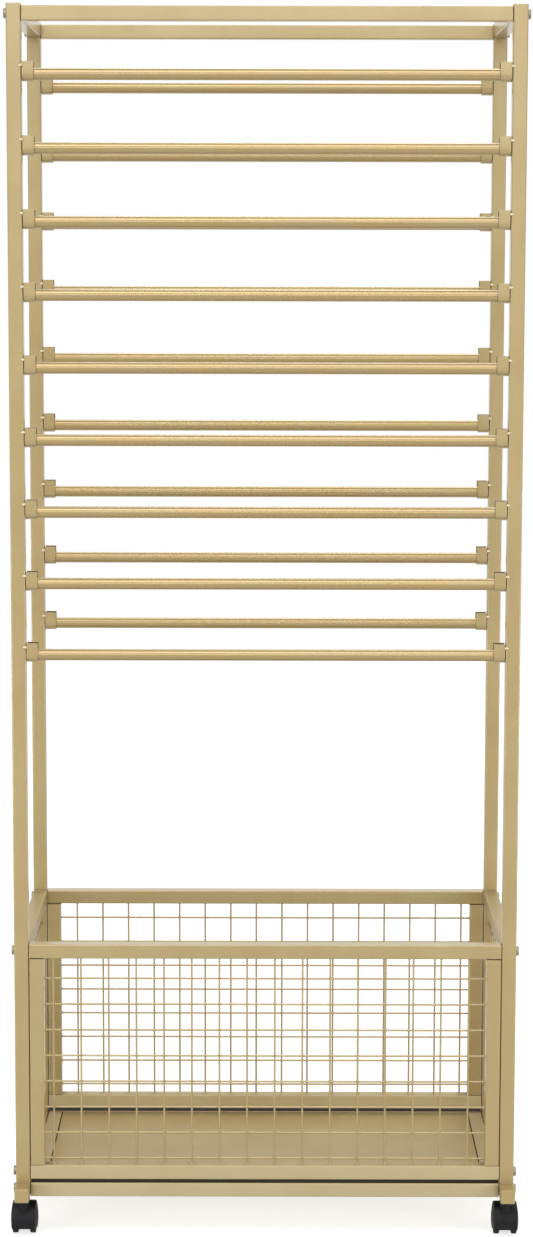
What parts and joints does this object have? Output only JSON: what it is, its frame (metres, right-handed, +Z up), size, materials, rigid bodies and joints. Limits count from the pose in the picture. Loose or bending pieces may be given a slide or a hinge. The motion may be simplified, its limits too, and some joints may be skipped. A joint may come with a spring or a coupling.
{
  "type": "gift wrap organizer",
  "caption": "Rolling steel rack with lift-out ribbon rods in open saddles, front and rear, above a wire mesh basket with a sheet floor, on swivel casters.",
  "frame": {"origin": "centre of the footprint, on the floor under the wheels", "axes": "+Z up, +X to the right seen from the front, -Y the front"},
  "size_m": [0.5696, 0.338, 1.355],
  "materials": {
    "gold_coat": "satin metallic gold powder coat",
    "charcoal_plastic": "moulded, satin",
    "black_tyre": "moulded, matt",
    "zinc_steel": "zinc plated"
  },
  "bodies": {
    "frame": {"post_front_left": "gold_coat", "post_front_right": "gold_coat", "post_rear_left": "gold_coat", "post_rear_right": "gold_coat", "top_side_rail_left": "gold_coat", "top_side_rail_right": "gold_coat", "middle_side_rail_left": "gold_coat", "middle_side_rail_right": "gold_coat", "foot_tube_left": "gold_coat", "foot_tube_right": "gold_coat", "top_crossbar_front": "gold_coat", "top_crossbar_rear": "gold_coat", "basket_panel_front": "gold_coat", "basket_panel_rear": "gold_coat", "side_mesh_left": "gold_coat", "side_mesh_right": "gold_coat", "floor_frame": "gold_coat", "floor_sheet": "gold_coat", "caster_stem_front_left": "zinc_steel", "caster_stem_front_right": "zinc_steel", "caster_stem_rear_left": "zinc_steel", "caster_stem_rear_right": "zinc_steel"},
    "rod_front_1": {"rod_front_1": "gold_coat"},
    "rod_front_2": {"rod_front_2": "gold_coat"},
    "rod_front_3": {"rod_front_3": "gold_coat"},
    "rod_front_4": {"rod_front_4": "gold_coat"},
    "rod_front_5": {"rod_front_5": "gold_coat"},
    "rod_front_6": {"rod_front_6": "gold_coat"},
    "rod_front_7": {"rod_front_7": "gold_coat"},
    "rod_front_8": {"rod_front_8": "gold_coat"},
    "rod_front_9": {"rod_front_9": "gold_coat"},
    "rod_rear_1": {"rod_rear_1": "gold_coat"},
    "rod_rear_2": {"rod_rear_2": "gold_coat"},
    "rod_rear_3": {"rod_rear_3": "gold_coat"},
    "rod_rear_4": {"rod_rear_4": "gold_coat"},
    "rod_rear_5": {"rod_rear_5": "gold_coat"},
    "rod_rear_6": {"rod_rear_6": "gold_coat"},
    "rod_rear_7": {"rod_rear_7": "gold_coat"},
    "rod_rear_8": {"rod_rear_8": "gold_coat"},
    "rod_rear_9": {"rod_rear_9": "gold_coat"},
    "caster_front_left": {"caster_body_front_left": "charcoal_plastic", "caster_axle_front_left": "zinc_steel"},
    "caster_front_right": {"caster_body_front_right": "charcoal_plastic", "caster_axle_front_right": "zinc_steel"},
    "caster_rear_left": {"caster_body_rear_left": "charcoal_plastic", "caster_axle_rear_left": "zinc_steel"},
    "caster_rear_right": {"caster_body_rear_right": "charcoal_plastic", "caster_axle_rear_right": "zinc_steel"},
    "wheel_front_left_left": {"caster_wheel_front_left_left": "black_tyre"},
    "wheel_front_left_right": {"caster_wheel_front_left_right": "black_tyre"},
    "wheel_front_right_left": {"caster_wheel_front_right_left": "black_tyre"},
    "wheel_front_right_right": {"caster_wheel_front_right_right": "black_tyre"},
    "wheel_rear_left_left": {"caster_wheel_rear_left_left": "black_tyre"},
    "wheel_rear_left_right": {"caster_wheel_rear_left_right": "black_tyre"},
    "wheel_rear_right_left": {"caster_wheel_rear_right_left": "black_tyre"},
    "wheel_rear_right_right": {"caster_wheel_rear_right_right": "black_tyre"}
  },
  "joints": [
    {"name": "lift_rod_front_1", "type": "slide", "parent": "frame", "child": "rod_front_1", "axis": [0, 0, 1], "range_m": [0, 0.022]},
    {"name": "lift_rod_front_2", "type": "slide", "parent": "frame", "child": "rod_front_2", "axis": [0, 0, 1], "range_m": [0, 0.022]},
    {"name": "lift_rod_front_3", "type": "slide", "parent": "frame", "child": "rod_front_3", "axis": [0, 0, 1], "range_m": [0, 0.022]},
    {"name": "lift_rod_front_4", "type": "slide", "parent": "frame", "child": "rod_front_4", "axis": [0, 0, 1], "range_m": [0, 0.022]},
    {"name": "lift_rod_front_5", "type": "slide", "parent": "frame", "child": "rod_front_5", "axis": [0, 0, 1], "range_m": [0, 0.022]},
    {"name": "lift_rod_front_6", "type": "slide", "parent": "frame", "child": "rod_front_6", "axis": [0, 0, 1], "range_m": [0, 0.022]},
    {"name": "lift_rod_front_7", "type": "slide", "parent": "frame", "child": "rod_front_7", "axis": [0, 0, 1], "range_m": [0, 0.022]},
    {"name": "lift_rod_front_8", "type": "slide", "parent": "frame", "child": "rod_front_8", "axis": [0, 0, 1], "range_m": [0, 0.022]},
    {"name": "lift_rod_front_9", "type": "slide", "parent": "frame", "child": "rod_front_9", "axis": [0, 0, 1], "range_m": [0, 0.022]},
    {"name": "lift_rod_rear_1", "type": "slide", "parent": "frame", "child": "rod_rear_1", "axis": [0, 0, 1], "range_m": [0, 0.022]},
    {"name": "lift_rod_rear_2", "type": "slide", "parent": "frame", "child": "rod_rear_2", "axis": [0, 0, 1], "range_m": [0, 0.022]},
    {"name": "lift_rod_rear_3", "type": "slide", "parent": "frame", "child": "rod_rear_3", "axis": [0, 0, 1], "range_m": [0, 0.022]},
    {"name": "lift_rod_rear_4", "type": "slide", "parent": "frame", "child": "rod_rear_4", "axis": [0, 0, 1], "range_m": [0, 0.022]},
    {"name": "lift_rod_rear_5", "type": "slide", "parent": "frame", "child": "rod_rear_5", "axis": [0, 0, 1], "range_m": [0, 0.022]},
    {"name": "lift_rod_rear_6", "type": "slide", "parent": "frame", "child": "rod_rear_6", "axis": [0, 0, 1], "range_m": [0, 0.022]},
    {"name": "lift_rod_rear_7", "type": "slide", "parent": "frame", "child": "rod_rear_7", "axis": [0, 0, 1], "range_m": [0, 0.022]},
    {"name": "lift_rod_rear_8", "type": "slide", "parent": "frame", "child": "rod_rear_8", "axis": [0, 0, 1], "range_m": [0, 0.022]},
    {"name": "lift_rod_rear_9", "type": "slide", "parent": "frame", "child": "rod_rear_9", "axis": [0, 0, 1], "range_m": [0, 0.022]},
    {"name": "swivel_front_left", "type": "hinge", "parent": "frame", "child": "caster_front_left", "pos_m": [-0.2695, -0.137, 0.0465], "axis": [0, 0, 1], "continuous": true},
    {"name": "swivel_front_right", "type": "hinge", "parent": "frame", "child": "caster_front_right", "pos_m": [0.2695, -0.137, 0.0465], "axis": [0, 0, 1], "continuous": true},
    {"name": "swivel_rear_left", "type": "hinge", "parent": "frame", "child": "caster_rear_left", "pos_m": [-0.2695, 0.137, 0.0465], "axis": [0, 0, 1], "continuous": true},
    {"name": "swivel_rear_right", "type": "hinge", "parent": "frame", "child": "caster_rear_right", "pos_m": [0.2695, 0.137, 0.0465], "axis": [0, 0, 1], "continuous": true},
    {"name": "roll_front_left_left", "type": "hinge", "parent": "caster_front_left", "child": "wheel_front_left_left", "pos_m": [-0.2695, -0.128, 0.0171], "axis": [1, 0, 0], "continuous": true},
    {"name": "roll_front_left_right", "type": "hinge", "parent": "caster_front_left", "child": "wheel_front_left_right", "pos_m": [-0.2695, -0.128, 0.0171], "axis": [1, 0, 0], "continuous": true},
    {"name": "roll_front_right_left", "type": "hinge", "parent": "caster_front_right", "child": "wheel_front_right_left", "pos_m": [0.2695, -0.128, 0.0171], "axis": [1, 0, 0], "continuous": true},
    {"name": "roll_front_right_right", "type": "hinge", "parent": "caster_front_right", "child": "wheel_front_right_right", "pos_m": [0.2695, -0.128, 0.0171], "axis": [1, 0, 0], "continuous": true},
    {"name": "roll_rear_left_left", "type": "hinge", "parent": "caster_rear_left", "child": "wheel_rear_left_left", "pos_m": [-0.2695, 0.128, 0.0171], "axis": [1, 0, 0], "continuous": true},
    {"name": "roll_rear_left_right", "type": "hinge", "parent": "caster_rear_left", "child": "wheel_rear_left_right", "pos_m": [-0.2695, 0.128, 0.0171], "axis": [1, 0, 0], "continuous": true},
    {"name": "roll_rear_right_left", "type": "hinge", "parent": "caster_rear_right", "child": "wheel_rear_right_left", "pos_m": [0.2695, 0.128, 0.0171], "axis": [1, 0, 0], "continuous": true},
    {"name": "roll_rear_right_right", "type": "hinge", "parent": "caster_rear_right", "child": "wheel_rear_right_right", "pos_m": [0.2695, 0.128, 0.0171], "axis": [1, 0, 0], "continuous": true}
  ]
}
